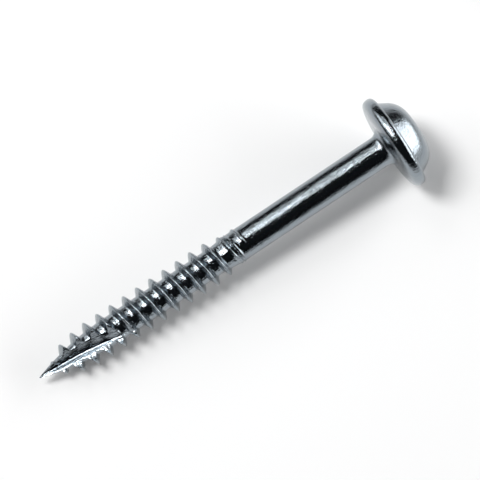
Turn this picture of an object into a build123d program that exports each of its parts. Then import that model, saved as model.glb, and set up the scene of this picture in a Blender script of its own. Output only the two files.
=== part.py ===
from build123d import *

import os
from math import acos, asin, atan2, cos, degrees, pi, radians, sin, sqrt, tan

# Pocket hole screw: a one-piece wood screw, headed and rolled from one wire, zinc plated.
#
# A wide flange under a low domed head bears on the flat floor of a drilled pocket. Below it
# come a plain shank, a helical wood thread standing on a thinner core, and a tapered point
# with one lengthwise flute that lets it cut its own way in. A square recess turns the head.
#
# The screw is built upright, point at Z = 0 and head up, with the flute's cutting face in
# the XZ plane. It is then laid down as it rests on a table, on the rim of its flange and on
# one crest of its thread, head towards +X. Sizes are in millimetres, angles in degrees.

# Lengths along the screw, measured from the point
bearing_height = 38.0
thread_length = 22.2
runout_length = 4.0
crest_taper_length = 6.3
core_taper_length = 8.0
thread_start_height = 0.5
thread_start_length = 1.7
core_blend_length = 3.2

# Shank and thread
shank_diameter = 2.96
core_diameter = 2.60
crest_diameter = 4.00
pitch = 1.45
crest_width = 0.10
thread_angle = 50.0
first_crest_height = 0.77
point_diameter = 0.10
root_sink = 0.12
end_sink = 0.06
start_sink_share = 0.6
root_floor_share = 0.4

# Flange
flange_diameter = 9.26
bearing_diameter = 6.00
under_head_fillet = 0.75
underside_radius = 3.4
rim_lower_radius = 0.66
rim_upper_radius = 0.60

# Domed head
head_diameter = 7.74
head_height = 2.01
crown_radius = 14.0
shoulder_radius = 2.2
head_side_lean = 31.0

# Square drive recess
square_width = 2.85
square_depth = 2.40
square_draft = 2.0
square_floor_angle = 120.0
mouth_ease = 0.08

# Lengthwise flute, as left by a wheel whose rim passes the axis at the point
wheel_radius = 27.0
wheel_offset = 0.02

# The cutting face is turned this far from straight up as the screw lies
flute_turn = 57.8

# The seam of the revolved body is turned this far from straight up, clear of the table
seam_turn = 45.0

# Sections of the thread in one turn, and straight steps in the taper of the core
sections_per_turn = 8
taper_steps = 4

# The underside curves up into the rim, which sets the rim's height and the head's foot
rim_centre = flange_diameter / 2 - rim_lower_radius
underside_reach = underside_radius - rim_lower_radius
underside_turn = asin((rim_centre - bearing_diameter / 2) / underside_reach)
rim_height = bearing_height + underside_radius - underside_reach * cos(underside_turn)
head_base = rim_height + rim_upper_radius
overall_length = head_base + head_height


def tapered(height, taper_length, full_radius):
    """Radius at a height on an arc that leaves the point and meets the side tangentially."""
    if height >= taper_length:
        return full_radius
    rise = full_radius - point_diameter / 2
    arc_radius = (taper_length**2 + rise**2) / (2 * rise)
    away = taper_length - max(height, 0)
    return full_radius - arc_radius + sqrt(arc_radius**2 - away**2)


def core_radius(height):
    return tapered(height, core_taper_length, core_diameter / 2)


def crest_radius(height):
    """Radius of the thread's crest, which sinks into the screw at both of its ends."""
    full = tapered(height, crest_taper_length, crest_diameter / 2)
    left = min(max((thread_length - height) / runout_length, 0), 1)
    begun = min(max((height - thread_start_height) / thread_start_length, 0), 1)
    end = core_diameter / 2 - end_sink
    start = core_radius(height) * start_sink_share
    full = end + (full - end) * sin(pi / 2 * left)
    return start + (full - start) * begun


def thread_section(turn):
    """Outline of the thread's ridge where its helix has made this many turns."""
    height = first_crest_height + pitch * turn
    outer = crest_radius(height)
    inner = min(core_radius(height) - root_sink, outer - end_sink)
    inner = max(inner, core_radius(height) * root_floor_share)
    crest_half = crest_width / 2
    root_half = crest_half + (outer - inner) * tan(radians(thread_angle / 2))
    outline = (
        (inner, height - root_half),
        (outer, height - crest_half),
        (outer, height + crest_half),
        (inner, height + root_half),
    )
    angle = 2 * pi * turn
    return Wire.make_polygon([(r * cos(angle), r * sin(angle), z) for r, z in outline])


def thread():
    """Ridge of the thread, one solid a turn, each starting on the last one's end face."""
    first = (thread_start_height - first_crest_height) / pitch
    last = (thread_length - first_crest_height) / pitch
    count = round((last - first) * sections_per_turn)
    step = (last - first) / count
    sections = [thread_section(first + step * index) for index in range(count + 1)]
    starts = range(0, count, sections_per_turn)
    return [Solid.make_loft(sections[n : n + sections_per_turn + 1]) for n in starts]


def arc(centre, radius, start, end):
    """Arc in the XZ plane about a centre, between two angles from the X axis."""
    points = []
    for angle in (start, (start + end) / 2, end):
        x = centre[0] + radius * cos(radians(angle))
        points.append((x, 0, centre[1] + radius * sin(radians(angle))))
    return ThreePointArc(*points)


def flange_outline():
    """Fillet, bearing face, underside and rim, from the shank out and round to the top."""
    fillet_centre = shank_diameter / 2 + under_head_fillet
    bearing_edge = bearing_diameter / 2
    turned = degrees(underside_turn) - 90
    flange_edge = flange_diameter / 2 - rim_upper_radius
    return [
        arc((fillet_centre, bearing_height - under_head_fillet), under_head_fillet, 180, 90),
        Line((fillet_centre, 0, bearing_height), (bearing_edge, 0, bearing_height)),
        arc((bearing_edge, bearing_height + underside_radius), underside_radius, -90, turned),
        arc((rim_centre, rim_height), rim_lower_radius, turned, 0),
        arc((flange_edge, rim_height), rim_upper_radius, 0, 90),
        Line((flange_edge, 0, head_base), (head_diameter / 2, 0, head_base)),
    ]


def head_outline():
    """Sloping side, shoulder and crown of the domed head, each tangent to the next."""
    lean = radians(head_side_lean)
    foot = head_diameter / 2
    crown = overall_length - crown_radius
    reach = crown_radius - shoulder_radius
    across = foot * cos(lean) + (head_base - crown) * sin(lean) - shoulder_radius
    turned = lean + acos(across / reach)
    shoulder = (reach * cos(turned), crown + reach * sin(turned))
    side_end = (
        shoulder[0] + shoulder_radius * cos(lean),
        0,
        shoulder[1] + shoulder_radius * sin(lean),
    )
    return [
        Line((foot, 0, head_base), side_end),
        arc(shoulder, shoulder_radius, head_side_lean, degrees(turned)),
        arc((0, crown), crown_radius, degrees(turned), 90),
    ]


def body():
    """Core, shank, flange and head: everything that is round about the axis."""
    shank = shank_diameter / 2
    heights = [core_taper_length * step / taper_steps for step in range(taper_steps + 1)]
    wire = Polyline(
        (0, 0, 0),
        *[(core_radius(height), 0, height) for height in heights],
        (core_diameter / 2, 0, thread_length - core_blend_length),
        (shank, 0, thread_length),
        (shank, 0, bearing_height - under_head_fillet),
    )
    axis = Line((0, 0, overall_length), (0, 0, 0))
    outline = make_face([wire, *flange_outline(), *head_outline(), axis])
    return Rot(0, 0, seam_turn - flute_turn) * revolve(outline, Axis.Z, 360)


def square_taper(low_width, low, high_width, high):
    """Solid between two squares on the axis, each given by its width and height."""
    squares = [Pos(0, 0, z) * Rectangle(w, w) for w, z in ((low_width, low), (high_width, high))]
    return loft(squares)


def recess():
    """Square socket for the driver bit, with an eased mouth and a drill-point floor."""
    floor = overall_length - square_depth
    half_mouth = square_width / 2 + mouth_ease
    sunk = crown_radius - sqrt(crown_radius**2 - half_mouth**2)
    mouth = overall_length - sunk - mouth_ease
    floor_width = square_width - 2 * (mouth - floor) * tan(radians(square_draft))
    flared_width = square_width + 2 * (overall_length - mouth)
    point_depth = floor_width / 2 / tan(radians(square_floor_angle / 2))
    point = Cone(0, floor_width / 2, point_depth, align=(Align.CENTER, Align.CENTER, Align.MAX))
    socket = square_taper(floor_width, floor, square_width, mouth) + Pos(0, 0, floor) * point
    return socket + square_taper(square_width, mouth, flared_width, overall_length)


def flute():
    """Wheel whose flat side leaves the cutting face and whose rim leaves the floor."""
    wheel = Cylinder(wheel_radius, crest_diameter, align=(Align.CENTER, Align.CENTER, Align.MIN))
    return Pos(wheel_radius + wheel_offset, 0, 0) * Rot(90, 0, 0) * wheel


def screw():
    return body().solid().fuse(*thread()) - flute() - recess()


def rest_lean():
    """Angle from the table to the axis when the rim and one crest touch the table."""
    leans = []
    for turn in range(int(thread_length / pitch)):
        height = first_crest_height + pitch * (turn + (180 - flute_turn) / 360)
        drop = flange_diameter / 2 - crest_radius(height)
        leans.append(degrees(atan2(drop, rim_height - height)))
    return min(leans)


def lay_down(shape):
    """Turn the flute to its place, lay the axis along X, and stand the result on Z = 0."""
    lean = radians(rest_lean())
    lying = Plane(
        origin=(0, 0, 0),
        x_dir=(-sin(lean), 0, cos(lean)),
        z_dir=(cos(lean), 0, sin(lean)),
    )
    laid = lying * Rot(0, 0, flute_turn) * shape
    box = laid.bounding_box()
    return Pos(-box.center().X, -box.center().Y, -box.min.Z) * laid


os.makedirs("parts", exist_ok=True)
export_step(lay_down(screw()), "parts/pocket_hole_screw.step")
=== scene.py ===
# %% [markdown]
# # A pocket hole screw in bright zinc
#
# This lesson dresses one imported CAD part, a wood screw with a wide flange, a wood thread and
# a fluted point. The real screw is a single piece of wire: its head is struck in a die, its
# thread is rolled between plates, its flute is ground, and it is then hardened and plated.
# So the picture needs one mesh and one metal, and the care goes into the thread's form and
# into what the plating reflects.
#
# The first cell loads the CAD model as a fixed frame. Everything is in metres there. The
# screw's own sizes are easier to read in millimetres, so they stay so until the mesh is made.

# %% Load the frame
import math

import bpy
import numpy as np
from mathutils import Matrix, Vector


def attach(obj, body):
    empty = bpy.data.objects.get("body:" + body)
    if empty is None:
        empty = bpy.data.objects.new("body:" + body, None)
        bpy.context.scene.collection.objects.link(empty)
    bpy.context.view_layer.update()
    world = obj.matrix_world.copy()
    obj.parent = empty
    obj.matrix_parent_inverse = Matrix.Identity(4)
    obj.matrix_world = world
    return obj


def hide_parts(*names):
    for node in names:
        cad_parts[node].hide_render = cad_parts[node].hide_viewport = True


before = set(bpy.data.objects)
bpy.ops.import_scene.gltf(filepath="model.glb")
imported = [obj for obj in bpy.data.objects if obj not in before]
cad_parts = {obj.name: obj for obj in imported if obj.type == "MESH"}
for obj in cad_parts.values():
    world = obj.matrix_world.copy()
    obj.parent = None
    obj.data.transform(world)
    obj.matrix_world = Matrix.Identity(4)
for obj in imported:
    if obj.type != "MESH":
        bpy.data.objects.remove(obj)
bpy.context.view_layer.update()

MM = 0.001
print("CAD nodes:", list(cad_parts))

# %% [markdown]
# ## Where the screw lies
#
# A screw on a table rests on the rim of its flange and on one crest of its thread, so its
# axis climbs gently from the point to the head. A piece could be modelled along an axis of
# Blender and turned at the end, but it is simpler to keep three directions of the screw and
# to place each vertex by its height along the axis, its radius and its angle. The angle is
# counted from the flute's cutting face, which is turned by `flute_turn` from straight up.

# %% The screw's own directions
# The lean, the turn and the place of the point are those of the CAD part as it lies
lean = math.radians(4.56229)
flute_turn = math.radians(57.8)
point_place = np.array([-20.67281, 0.0, 1.53008])
along = np.array([math.cos(lean), 0.0, math.sin(lean)])
upward = np.array([-math.sin(lean), 0.0, math.cos(lean)])
sideways = np.array([0.0, -1.0, 0.0])


def place(radius, angle, height):
    """World position in mm of points given in the screw's own round coordinates."""
    turned = angle + flute_turn
    across = np.cos(turned)[..., None] * upward + np.sin(turned)[..., None] * sideways
    return point_place + height[..., None] * along + radius[..., None] * across


# %% [markdown]
# ## The round outline under the thread
#
# These are the sizes of the CAD part: a core that tapers to the point, and the plain shank
# that the thread runs out on. Rolling leaves the core thinner than the shank. The CAD part
# has a cone between them, and here it is a soft step. Each size is a function of the height
# along the axis, so the mesh can ask for it anywhere.

# %% Core and shank
core_radius, shank_radius = 1.30, 1.48
core_taper, crest_taper = 8.0, 6.3
shank_step = (19.1, 21.6)
point_radius = 0.05
bearing_height = 38.0


def smooth(value, low, high):
    """0 below low, 1 above high, and an even curve between them."""
    share = np.clip((value - low) / (high - low), 0, 1)
    return share * share * (3 - 2 * share)


def tapered(height, length, full):
    """Radius on an arc that leaves the point and meets the full radius tangentially."""
    rise = full - point_radius
    arc = (length**2 + rise**2) / (2 * rise)
    away = np.clip(length - height, 0, length)
    return full - arc + np.sqrt(arc**2 - away**2)


def core(height):
    """Radius of the core, and of the shank that follows it."""
    step = smooth(height, *shank_step)
    return tapered(height, core_taper, core_radius) + (shank_radius - core_radius) * step


# %% [markdown]
# ## The thread
#
# A wood thread is a thin ridge with wide roots between its turns. Its crest is rounded,
# because the metal flows up between the rolling plates and doesn't quite fill them, and it
# swells out of the root in a small fillet. Sweeping a profile with a Screw modifier gives a
# constant ridge, but this one grows at the point, sinks at the shank and is cut by a flute.
# So the surface is one grid whose rows follow the helix: the crest is then a clean line of
# vertices, and any row can ask how tall the ridge is there.

# %% Sizes of the thread
pitch = 1.45
first_crest = 0.77
crest_radius = 2.0
thread_start, thread_growth = 0.5, 2.6
thread_end, thread_runout = 22.2, 4.0
start_share, end_sink = 0.6, 0.06
flank_slope = 1 / math.tan(math.radians(21))
crest_round = 0.16
root_fillet, least_fillet = 0.10, 1e-4
sunk_blend = 0.05

# The last turn stands above the shank, between where it rises and where it falls
last_ridge = 1.60
last_rise, last_fall = (20.9, 21.5), (22.2, 23.2)

# Beside it are two low ridges, each a distance from the crest, a width and a height
twin_rise, twin_fall = (20.3, 20.8), (21.7, 22.1)
twins = ((0.31, 0.07, 0.11), (0.58, 0.06, 0.08))

# %% Ridge of the thread


def crest(height):
    """Radius of the crest where it passes this height."""
    full = tapered(height, crest_taper, crest_radius)
    sunk = core_radius - end_sink
    left = np.clip((thread_end - height) / thread_runout, 0, 1)
    full = sunk + (full - sunk) * np.sin(math.pi / 2 * left)
    begun = np.clip((height - thread_start) / thread_growth, 0, 1)
    low = start_share * core(height)
    last = last_ridge * smooth(height, *last_rise) * (1 - smooth(height, *last_fall))
    return np.maximum(low + (full - low) * begun, last)


def soft_max(a, b, width):
    """The larger of two values, with a rounded change between them."""
    return (a + b + np.sqrt((a - b) ** 2 + width**2)) / 2


def soft_min(a, b, width):
    """The smaller of two values, with a rounded change between them."""
    return (a + b - np.sqrt((a - b) ** 2 + width**2)) / 2


def twin_ridges(height, offset):
    """Two low ridges beside the last crest, where the plates let go of the wire."""
    fades = smooth(height, *twin_rise) * (1 - smooth(height, *twin_fall))
    ridges = 0.0
    for distance, width, rise in twins:
        ridges = ridges + rise * np.exp(-(((offset - distance) / width) ** 2))
    return ridges * fades


def threaded(height, offset):
    """Radius of core and ridge, offset being the distance along the axis from a crest."""
    flank = flank_slope * (np.sqrt(offset**2 + crest_round**2) - crest_round)
    base = core(height)
    ridge = crest(height - offset) - flank
    present = smooth(crest(height - offset) - base, -sunk_blend, sunk_blend)
    width = root_fillet * np.minimum(base / core_radius, 1) * present + least_fillet
    return soft_max(base, ridge, width) + twin_ridges(height, offset)


# %% [markdown]
# ## The flute
#
# The flute is ground by a wheel that lies along the screw: its flat side leaves the cutting
# face, which contains the axis, and its rim leaves a floor that climbs out to the thread. A
# Boolean would cut it, but its edges would stay knife sharp and its facets ragged. Here the
# grid is split at the cutting face, and before it the radius is the smaller of the thread's
# and the floor's. The inner corner and the lips get small radii of their own, which is where
# the light catches. The floor is tilted by a few degrees, as a wheel leaves it that is not
# dressed quite square.

# %% Sizes of the flute
wheel_radius, wheel_offset = 27.0, 0.02
floor_tilt = math.radians(6)
corner_round, corner_share = 0.13, 0.5
lip_round = 0.10
least_radius = 0.4 * point_radius
quarter_turn = math.pi / 2

# The lip starts this far inside the core's radius, leans out with a slope and has a limit
lip_width, lip_blend = 0.14, 0.05
face_slope, slope_blend = 0.46, 0.03
face_limit, limit_blend = 0.24, 0.06

# The lip is uneven along the screw, by waves of a height, a rate for each mm and a shift
lip_waves = ((0.1, 7.3, 1.1), (0.06, 17.9, 0.0))

# %% Floor of the flute


def flute_floor(height):
    """Distance of the floor from the axis."""
    return wheel_radius + wheel_offset - np.sqrt(wheel_radius**2 - height**2)


def cut_by_floor(radius, angle, height):
    """Radius after the flute, for angles in the last quarter turn before the cutting face."""
    before = 2 * math.pi - angle
    inside = before < quarter_turn - 1e-6
    steep = np.tan(np.where(inside, before, 0.0))
    floor = flute_floor(height)
    reach = np.minimum(corner_round, np.maximum(radius - floor, 0.0) * corner_share)

    # How near the corner is depends on the level, and the level on that: three rounds settle it
    level = floor
    for _ in range(3):
        near = np.clip(reach - level * steep, 0, None)
        level = floor + reach - np.sqrt(np.maximum(reach**2 - near**2, 0.0))
    from_tilt = np.where(inside, before, floor_tilt) - floor_tilt
    cut = level * math.cos(floor_tilt) / np.cos(from_tilt)
    width = lip_round * np.minimum(radius / core_radius, 1)
    return np.where(inside, np.maximum(soft_min(radius, cut, width), least_radius), radius)


def face_lean(radius, height):
    """Distance by which the cutting face leans out of its plane at this radius."""
    beyond = radius - core(height) + lip_width
    uneven = 1.0
    for rise, rate, shift in lip_waves:
        uneven = uneven + rise * np.sin(rate * height + shift)
    lean_out = face_slope * uneven * soft_max(beyond, 0.0, slope_blend)
    limited = soft_min(lean_out, face_limit, limit_blend)
    return limited * smooth(beyond, -lip_blend, lip_blend)


def lip_turn(radius, angle, height):
    """How far the first quarter turn after the cutting face is turned by its lip."""
    return face_lean(radius, height) / radius * np.clip(1 - angle / quarter_turn, 0, None)


# %% [markdown]
# ## One grid for shank and thread
#
# Rows are spaced closely at the crest and widely in the root. They run from below the point
# to the shank, and those that pass either end are pressed flat onto it, so that the helical
# rows close into level rings. Vertices that fall together are then welded. After the last
# column comes the cutting face: a few more columns from the floor out to the first column.

# %% Rows and columns of the thread
# The columns of a turn are a multiple of eight, so that the square recess has its corners
columns = 144
face_columns = 14
thread_top = 23.4
turns_below = 2
crest_side = [0.03, 0.06, 0.09, 0.13, 0.17, 0.21, 0.25, 0.29]
root_side = [0.33, 0.37, 0.42, 0.48, 0.53, 0.58, 0.63]
fine = np.array(crest_side + root_side)
across_crest = np.concatenate([-fine[::-1], [0.0], fine, [pitch / 2]])
turns = np.arange(-turns_below, int(thread_top / pitch) + 1)
row_turn = np.repeat(turns, len(across_crest))
row_offset = np.tile(across_crest, len(turns))
angles = np.linspace(0, 2 * math.pi, columns + 1)

crest_height = first_crest + pitch * (row_turn[:, None] + angles[None, :] / (2 * math.pi))
heights = crest_height + row_offset[:, None]
inside = (heights > 0) & (heights < thread_top)
heights = np.clip(heights, 0, thread_top)
radii = np.where(inside, threaded(heights, row_offset[:, None]), core(heights))
grid_angles = np.broadcast_to(angles, heights.shape)
radii = cut_by_floor(radii, grid_angles, heights)
turned_angles = grid_angles + lip_turn(radii, grid_angles, heights)
grid = place(radii, turned_angles, heights)
print("thread grid:", heights.shape)

# %% [markdown]
# The cutting face starts at the end of the corner's small radius and ends at the outer edge,
# which is where the next turn's first column begins. Grinding drags the outermost metal out
# of the face's plane, over the root's edge and the thread's cut ends. It is only a tenth or
# two of a millimetre, yet it is what draws the white line along the face. `face_lean` gives
# this lean to the face and `lip_turn` carries it over into the columns that follow.

# %% Cutting face
shares = np.linspace(0, 1, face_columns + 2)[1:-1]
rows_per_turn = len(across_crest)
inner = radii[:-rows_per_turn, -1]
outer = radii[rows_per_turn:, 0]
face_height = heights[:-rows_per_turn, -1]
face = []
for share in shares:
    radius = inner + (outer - inner) * share
    turn = face_lean(radius, face_height) / radius
    face.append(place(radius, 2 * math.pi + turn, face_height))

# %% [markdown]
# ## Flange and head
#
# Under the head the shank swells in a fillet into the flat bearing face. The flange's edge
# is free metal that flowed outwards in the die, so it is rounded on both sides. The dome
# starts with a sloping side and turns over a shoulder into a shallow crown. All of it is
# round about the axis, so it is a list of rings, each a radius and a height. The list stops
# at a circle just outside the recess.

# %% Sizes of the head
# The CAD's flange is 4.63, but its facets stop a little short of that, and so does this one
flange_radius, bearing_radius = 4.618, 3.0
fillet_radius, underside_radius = 0.75, 3.4
rim_lower, rim_upper = 0.66, 0.60
head_radius, head_height = 3.87, 2.01
crown_round, shoulder_round = 14.0, 2.2
side_lean = math.radians(31)

# The flange's upper edge is tighter than the CAD's rim_upper, with a straight run below it
edge_round = 0.45
mouth_circle = 2.35

# %% Rings of the head


def arc(centre, radius, start, end, steps):
    """Points after the first on an arc, as pairs of radius and height; angles in degrees."""
    turn = np.radians(np.linspace(start, end, steps + 1)[1:])
    return [(centre[0] + radius * math.cos(a), centre[1] + radius * math.sin(a)) for a in turn]


def run(start, end, steps):
    """Points after the first on a straight run."""
    out, up = end[0] - start[0], end[1] - start[1]
    return [(start[0] + out * s, start[1] + up * s) for s in np.linspace(0, 1, steps + 1)[1:]]


rim_centre = flange_radius - rim_lower
reach = underside_radius - rim_lower
turn_out = math.asin((rim_centre - bearing_radius) / reach)
rim_height = bearing_height + underside_radius - reach * math.cos(turn_out)
head_base = rim_height + rim_upper
overall = head_base + head_height

# The shoulder's centre, where it is tangent to both the sloping side and the crown
crown_centre = overall - crown_round
crown_reach = crown_round - shoulder_round
side_normal = head_radius * math.cos(side_lean) + (head_base - crown_centre) * math.sin(side_lean)
shoulder_angle = side_lean + math.acos((side_normal - shoulder_round) / crown_reach)
shoulder = (
    crown_reach * math.cos(shoulder_angle),
    crown_centre + crown_reach * math.sin(shoulder_angle),
)
side_end = (
    shoulder[0] + shoulder_round * math.cos(side_lean),
    shoulder[1] + shoulder_round * math.sin(side_lean),
)
mouth_angle = math.acos((mouth_circle - shoulder[0]) / shoulder_round)
turned = math.degrees(turn_out) - 90
fillet_centre = (shank_radius + fillet_radius, bearing_height - fillet_radius)
underside_centre = (bearing_radius, bearing_height + underside_radius)
edge_centre = (flange_radius - edge_round, head_base - edge_round)

rings = run((shank_radius, thread_top), (shank_radius, fillet_centre[1]), 24)
rings += arc(fillet_centre, fillet_radius, 180, 90, 12)
rings += run((fillet_centre[0], bearing_height), (bearing_radius, bearing_height), 4)
rings += arc(underside_centre, underside_radius, -90, turned, 8)
rings += arc((rim_centre, rim_height), rim_lower, turned, 0, 12)
rings += run((flange_radius, rim_height), (flange_radius, edge_centre[1]), 2)
rings += arc(edge_centre, edge_round, 0, 90, 12)
rings += run((edge_centre[0], head_base), (head_radius, head_base), 2)
rings += run((head_radius, head_base), side_end, 5)
rings += arc(shoulder, shoulder_round, math.degrees(side_lean), math.degrees(mouth_angle), 14)
print("head rings:", len(rings), "overall length, mm:", round(overall, 3))

# %% [markdown]
# ## The square recess
#
# A square driver turns this head. The punch leaves a slightly eased mouth, walls with a
# little draft so that the punch comes out again, and a floor like a drill point. A column
# of the grid runs down each corner of the square, so the corners stay true. Between the
# last circle and the square mouth the rings change shape step by step, and each takes its
# height from the dome. The dome is lower at the square's corners, so the easing, which
# slopes at 45 degrees, is widest along the flats and fades out at the corners.

# %% Rings of the recess
square_half, square_depth = 1.425, 2.40
square_draft = math.radians(2.0)
mouth_ease = 0.08
floor_slope = math.tan(math.radians(60))


def square(half):
    """Radius of a square's outline at each column."""
    return half / np.maximum(np.abs(np.cos(angles)), np.abs(np.sin(angles)))


def head_top(radius):
    """Height of the dome at this radius: the crown inside, the shoulder outside."""
    crown_edge = crown_round * math.cos(shoulder_angle)
    crown = crown_centre + np.sqrt(crown_round**2 - radius**2)
    turned_over = shoulder[1] + np.sqrt(shoulder_round**2 - (radius - shoulder[0]) ** 2)
    return np.where(radius < crown_edge, crown, turned_over)


def level_ring(value):
    """The same radius or height at each column."""
    return np.full(columns + 1, value)


# The easing ends on the dome, whose height depends on where it ends: four rounds settle it
mouth = float(head_top(np.array(square_half + mouth_ease))) - mouth_ease
flared_half = level_ring(square_half + mouth_ease)
for _ in range(4):
    flared_half = square_half + np.maximum(head_top(square(flared_half)) - mouth, 0.0)
flared = square(flared_half)
recess = []
for share in (0.2, 0.4, 0.6, 0.8, 1.0):
    radius = mouth_circle + (flared - mouth_circle) * share
    recess.append((radius, head_top(radius)))
recess.append((square(square_half), np.minimum(mouth, head_top(square(square_half)))))
floor_height = overall - square_depth
floor_half = square_half - (mouth - floor_height) * math.tan(square_draft)
for share in (0.25, 0.5, 0.75, 1.0):
    half = square_half + (floor_half - square_half) * share
    recess.append((square(half), level_ring(mouth + (floor_height - mouth) * share)))
for share in (1.0, 0.66, 0.33, 0.08):
    radius = floor_half * share
    low = floor_height - (floor_half - radius) / floor_slope
    recess.append((level_ring(radius), level_ring(low)))

# %% [markdown]
# ## Putting the mesh together
#
# The grid, the face columns, the rings and two end caps are lists of faces over one list of
# positions. Welding by rounded position joins the seam and drops the faces that were
# pressed flat. Edges sharper than a set angle are marked, so that shading is smooth over
# the rolled and struck surfaces and crisp at the mouth of the recess.

# %% Faces over one list of positions
points, faces = [], []


def add_row_faces(lower, upper):
    """Faces between two rows of vertex numbers, seen from outside."""
    for j in range(len(lower) - 1):
        faces.append((lower[j], lower[j + 1], upper[j + 1], upper[j]))


def add_points(places):
    """Adds positions and gives their numbers."""
    start = len(points)
    points.extend(places.tolist())
    return list(range(start, len(points)))


def add_axis_point(height):
    """Adds one position on the axis and gives its number."""
    return add_points(place(np.array([0.0]), np.array([0.0]), np.array([height])))[0]


grid_rows = [add_points(row) for row in grid]
face_rows = [add_points(column) for column in face]
for lower, upper in zip(grid_rows[:-1], grid_rows[1:]):
    add_row_faces(lower, upper)


def face_row(i):
    """Vertex numbers across the cutting face, from the last column to the next turn's first."""
    return [grid_rows[i][-1]] + [column[i] for column in face_rows] + [grid_rows[i + rows_per_turn][0]]


for i in range(len(face_height) - 1):
    add_row_faces(face_row(i), face_row(i + 1))
ring_rows = [grid_rows[-1]]
for radius, height in rings:
    ring_rows.append(add_points(place(level_ring(radius), angles, level_ring(height))))
for radius, height in recess:
    ring_rows.append(add_points(place(radius, angles, height)))
for lower, upper in zip(ring_rows[:-1], ring_rows[1:]):
    add_row_faces(lower, upper)
centre = add_axis_point(floor_height - floor_half / floor_slope)
tip = add_axis_point(0.0)
for j in range(columns):
    faces.append((ring_rows[-1][j], ring_rows[-1][j + 1], centre))
    faces.append((grid_rows[0][j + 1], grid_rows[0][j], tip))
faces.append((grid_rows[0][0], grid_rows[0][-1], tip))

# %% Weld and build the mesh
weld_distance = 2e-4
sharp_angle = math.radians(30)

places = np.array(points)
keys = np.round(places / weld_distance).astype(np.int64)
_, first, welded = np.unique(keys, axis=0, return_index=True, return_inverse=True)
welded = welded.reshape(-1)
clean = []
for corners in faces:
    ring = []
    for corner in corners:
        number = int(welded[corner])
        if number not in ring:
            ring.append(number)
    if len(ring) > 2:
        clean.append(ring)
mesh = bpy.data.meshes.new("pocket_hole_screw_zinc")
mesh.from_pydata((places[first] * MM).tolist(), [], clean)
mesh.update()
mesh.validate(verbose=True)
for polygon in mesh.polygons:
    polygon.use_smooth = True
mesh.set_sharp_from_angle(angle=sharp_angle)
screw = bpy.data.objects.new("pocket_hole_screw_zinc", mesh)
bpy.context.scene.collection.objects.link(screw)
print("screw mesh:", len(mesh.vertices), "vertices,", len(mesh.polygons), "faces")

# %% Tell the frame what the mesh stands for
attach(screw, "root")
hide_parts("pocket_hole_screw")

# %% [markdown]
# ## Bright zinc plating
#
# The screw is case-hardened steel with a few thousandths of a millimetre of zinc, brightened
# in the bath. Bright zinc is nearly a mirror with a cold, slightly blue colour. It follows
# the steel below it: drawing and rolling leave fine streaks along the wire, and handling in
# the barrel leaves specks. That breaks up the edges of each reflection, which is what tells
# plating from polished chrome. The rolled thread is rougher, so ripples are added there and
# fade out on the drawn shank. An image texture could carry this, but noise in real
# millimetres holds at any distance.
#
# The pattern's coordinates are the object's own, turned to the screw's axis and divided by
# the size of what they draw, so one unit of noise is one streak, speck or ripple.

# %% Colours and nodes


def colour(code):
    """Linear colour with alpha, from an sRGB hex value."""
    values = [int(code[i : i + 2], 16) / 255 for i in (1, 3, 5)]
    linear = [v / 12.92 if v <= 0.04045 else ((v + 0.055) / 1.055) ** 2.4 for v in values]
    return (*linear, 1.0)


def add_node(tree, kind, links=None, **settings):
    """Adds a node; settings are sockets by name or properties, links go to its sockets."""
    node = tree.nodes.new(kind)
    for name, value in settings.items():
        if hasattr(node, name):
            setattr(node, name, value)
        else:
            node.inputs[name.replace("_", " ")].default_value = value
    for name, source in (links or {}).items():
        tree.links.new(source, node.inputs[name])
    return node


def add_range(tree, value, source, target):
    """Maps a value from the source's range to the target's."""
    mapped = add_node(
        tree,
        "ShaderNodeMapRange",
        {"Value": value},
        From_Min=source[0],
        From_Max=source[1],
        To_Min=target[0],
        To_Max=target[1],
    )
    return mapped.outputs["Result"]


def add_mix(tree, share, first, second):
    """Mixes two colours, given as hex values."""
    mix = add_node(tree, "ShaderNodeMix", {"Factor": share}, data_type="RGBA")
    mix.inputs["A"].default_value = colour(first)
    mix.inputs["B"].default_value = colour(second)
    return mix.outputs["Result"]


# %% Zinc plated steel
streak_length, streak_width = 1.1, 0.22
speck_size, ripple_size, cloud_size = 0.12, 0.38, 2.5
ripple_share, ripple_fade = 1.8, 2.0
bump_depth = 0.026

zinc = bpy.data.materials.new("zinc_plated_steel")
zinc.use_nodes = True
tree = zinc.node_tree
shader = tree.nodes["Principled BSDF"]
shader.inputs["Metallic"].default_value = 1.0
object_place = add_node(tree, "ShaderNodeTexCoord").outputs["Object"]
axis_node = add_node(tree, "ShaderNodeMapping", {"Vector": object_place}, Rotation=(0.0, lean, 0.0))
axis_place = axis_node.outputs[0]


def axis_noise(length, width, detail):
    """Noise with cells of a length along the screw and a width across it, in mm."""
    cells = (1 / (length * MM), 1 / (width * MM), 1 / (width * MM))
    scaled = add_node(zinc.node_tree, "ShaderNodeMapping", {"Vector": axis_place}, Scale=cells)
    links = {"Vector": scaled.outputs[0]}
    noise = add_node(zinc.node_tree, "ShaderNodeTexNoise", links, Scale=1.0, Detail=detail)
    return noise.outputs["Fac"]


streaks = axis_noise(streak_length, streak_width, 3.0)
specks = axis_noise(speck_size, speck_size, 2.0)
ripples = axis_noise(ripple_size, ripple_size, 1.0)
clouds = axis_noise(cloud_size, cloud_size, 4.0)

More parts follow.
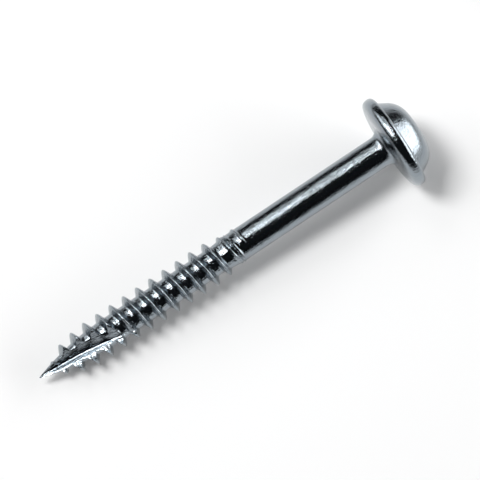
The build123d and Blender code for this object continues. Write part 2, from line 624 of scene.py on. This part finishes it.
# The thread ends near the middle of the part, where the ripples fade out
along_axis = add_node(tree, "ShaderNodeSeparateXYZ", {"Vector": axis_place}).outputs["X"]
rolled = add_range(tree, along_axis, (0.0, ripple_fade * MM), (ripple_share, 0.0))
fine_mix = add_node(tree, "ShaderNodeMath", {0: streaks, 1: specks}, operation="ADD")
height_links = {0: ripples, 1: rolled, 2: fine_mix.outputs[0]}
relief = add_node(tree, "ShaderNodeMath", height_links, operation="MULTIPLY_ADD")
bump_links = {"Height": relief.outputs[0]}
bump = add_node(tree, "ShaderNodeBump", bump_links, Strength=1.0, Distance=bump_depth * MM)
tint = add_mix(tree, clouds, "#8A9298", "#98A0A6")
roughness = add_range(tree, specks, (0.3, 0.7), (0.06, 0.18))
tree.links.new(bump.outputs["Normal"], shader.inputs["Normal"])
tree.links.new(tint, shader.inputs["Base Color"])
tree.links.new(roughness, shader.inputs["Roughness"])
mesh.materials.append(zinc)

# %% [markdown]
# ## The table
#
# The screw lies on a plain white table, which has to stay white and to keep the soft shadow.
# One square sheet, large enough to fill any view, does it. White paint under a lamp is
# close to white but not even, so the sheet adds a little light of its own for the camera
# and for reflections, which leaves the lamps free to draw the shadow. Both fade with the
# distance from the screw to grey, which is painted shade in place of the lamps' falloff: a
# wide white table would be mirrored in every side of the metal, and the photograph's metal
# is dark where it looks at the room.

# %% White table
table_half = 0.9
fade_start, fade_end = 0.032, 0.08

table_mesh = bpy.data.meshes.new("table")
corners = [(-1, -1), (1, -1), (1, 1), (-1, 1)]
table_points = [(x * table_half, y * table_half, 0.0) for x, y in corners]
table_mesh.from_pydata(table_points, [], [(0, 1, 2, 3)])
table = bpy.data.objects.new("table", table_mesh)
bpy.context.scene.collection.objects.link(table)
paint = bpy.data.materials.new("white_table")
paint.use_nodes = True
tree = paint.node_tree
shader = tree.nodes["Principled BSDF"]
shader.inputs["Roughness"].default_value = 0.6
shader.inputs["Specular IOR Level"].default_value = 0.0
table_place = add_node(tree, "ShaderNodeTexCoord").outputs["Object"]
far = add_node(tree, "ShaderNodeVectorMath", {0: table_place}, operation="LENGTH")
fade = add_range(tree, far.outputs["Value"], (fade_start, fade_end), (0.0, 1.0))
# Painted shade: the table's colour goes from white near the screw to dark grey further out, in place
# of the lamps' falloff
white_with_painted_falloff = add_mix(tree, fade, "#F4F4F4", "#505050")
# The sheet's own light for camera and reflections fades the same way, a painted falloff
glow_with_painted_falloff = add_mix(tree, fade, "#3C3C3C", "#101010")
rays = add_node(tree, "ShaderNodeLightPath").outputs
seen_links = {0: rays["Is Camera Ray"], 1: rays["Is Glossy Ray"]}
seen = add_node(tree, "ShaderNodeMath", seen_links, operation="ADD")
seen_links = {0: seen.outputs[0], 1: rays["Is Transmission Ray"]}
seen = add_node(tree, "ShaderNodeMath", seen_links, operation="ADD", use_clamp=True)
tree.links.new(white_with_painted_falloff, shader.inputs["Base Color"])
tree.links.new(glow_with_painted_falloff, shader.inputs["Emission Color"])
tree.links.new(seen.outputs[0], shader.inputs["Emission Strength"])
table_mesh.materials.append(paint)

# %% [markdown]
# ## Camera
#
# The photograph looks steeply down on the screw, a little from its point and its front, with
# a long lens that hardly shows perspective. The frame is square, 480 pixels wide, and one
# pixel is 0.0912 mm at the screw. So the camera's distance follows from its lens, and its
# aim from the pixel where the point lies.

# %% Camera
azimuth, elevation = math.radians(-33.5), math.radians(75.8)
pixel = 0.0912
lens, sensor = 450.0, 36.0
frame_pixels = 480
point_pixel = (40.0, 377.6)
clip_near, clip_far = 0.01, 10.0

back = np.array(
    [
        math.sin(azimuth) * math.cos(elevation),
        -math.cos(azimuth) * math.cos(elevation),
        math.sin(elevation),
    ]
)
right = np.cross([0.0, 0.0, 1.0], back)
right /= np.linalg.norm(right)
up = np.cross(back, right)
to_centre_x = (frame_pixels / 2 - point_pixel[0]) * pixel
to_centre_y = (point_pixel[1] - frame_pixels / 2) * pixel
middle = point_place + along * overall / 2
aim = point_place + right * to_centre_x + up * to_centre_y
aim += back * float((middle - aim) @ back)
distance = frame_pixels * pixel * lens / sensor
eye = (aim + back * distance) * MM
camera_data = bpy.data.cameras.new("camera")
camera_data.lens = lens
camera_data.sensor_width = sensor
camera_data.clip_start, camera_data.clip_end = clip_near, clip_far
camera = bpy.data.objects.new("camera", camera_data)
camera.matrix_world = Matrix(
    (
        (right[0], up[0], back[0], eye[0]),
        (right[1], up[1], back[1], eye[1]),
        (right[2], up[2], back[2], eye[2]),
        (0, 0, 0, 1),
    )
)
bpy.context.scene.collection.objects.link(camera)
bpy.context.scene.camera = camera
print("camera at, m:", [round(float(c), 4) for c in eye])

# %% [markdown]
# ## Light
#
# What a mirror-like metal looks like is what stands around it. The photograph's shank has
# one white band on its upper side, black beside it, and the pale table along its edges. So
# the room is dark and has a few soft lights:
#
# - a strong small one above the screw, which draws the shadow. It is narrow along the screw,
#   so that the thread's shadow stays scalloped
# - a wide, low one at the upper left, which the thread's flanks and the flange see
# - a small weak one, which only widens the band on the shank
# - a long one, low on the right, which makes the white patch on the dome.
#
# Each lamp is placed by the direction in which the metal sees it, given by its components
# along the screw in the picture, down the picture, and to the camera.

# %% Lamps
screw_right = along - back * float(along @ back)
screw_right /= np.linalg.norm(screw_right)
screw_down = np.cross(screw_right, back)
screw_down /= np.linalg.norm(screw_down)
if float(screw_down @ up) > 0:
    screw_down = -screw_down


def softbox(name, direction, distance, width, height, radiance, roll=0.0):
    """A soft light that faces the screw, at a direction in the picture's own axes."""
    ray = direction[0] * screw_right + direction[1] * screw_down + direction[2] * back
    ray /= np.linalg.norm(ray)
    data = bpy.data.lights.new(name, "AREA")
    data.shape = "RECTANGLE"
    data.size, data.size_y = width, height
    data.energy = radiance * math.pi * width * height
    lamp = bpy.data.objects.new(name, data)
    moved = Matrix.Translation(Vector(ray * distance))
    turned_in = Vector(ray).to_track_quat("Z", "Y").to_matrix().to_4x4()
    lamp.matrix_world = moved @ turned_in @ Matrix.Rotation(roll, 4, "Z")
    bpy.context.scene.collection.objects.link(lamp)
    print(name, "at, m:", [round(float(c), 3) for c in ray * distance])


softbox("softbox_main", (-0.17, -0.48, 0.86), 0.5, 0.14, 0.18, 21.2)
softbox("softbox_low", (-0.46, -0.74, 0.49), 0.5, 0.52, 0.16, 3.2, math.radians(25))
softbox("softbox_band", (0.10, -0.77, 0.63), 0.5, 0.12, 0.10, 4.2)
softbox("softbox_right", (0.94, 0.20, 0.22), 0.45, 0.6, 0.28, 4.2)

world = bpy.data.worlds.new("dark_room")
world.use_nodes = True
room = world.node_tree.nodes["Background"]
room.inputs["Color"].default_value = colour("#1C1E20")
room.inputs["Strength"].default_value = 1.0
bpy.context.scene.world = world
bpy.context.scene.view_settings.view_transform = "Standard"
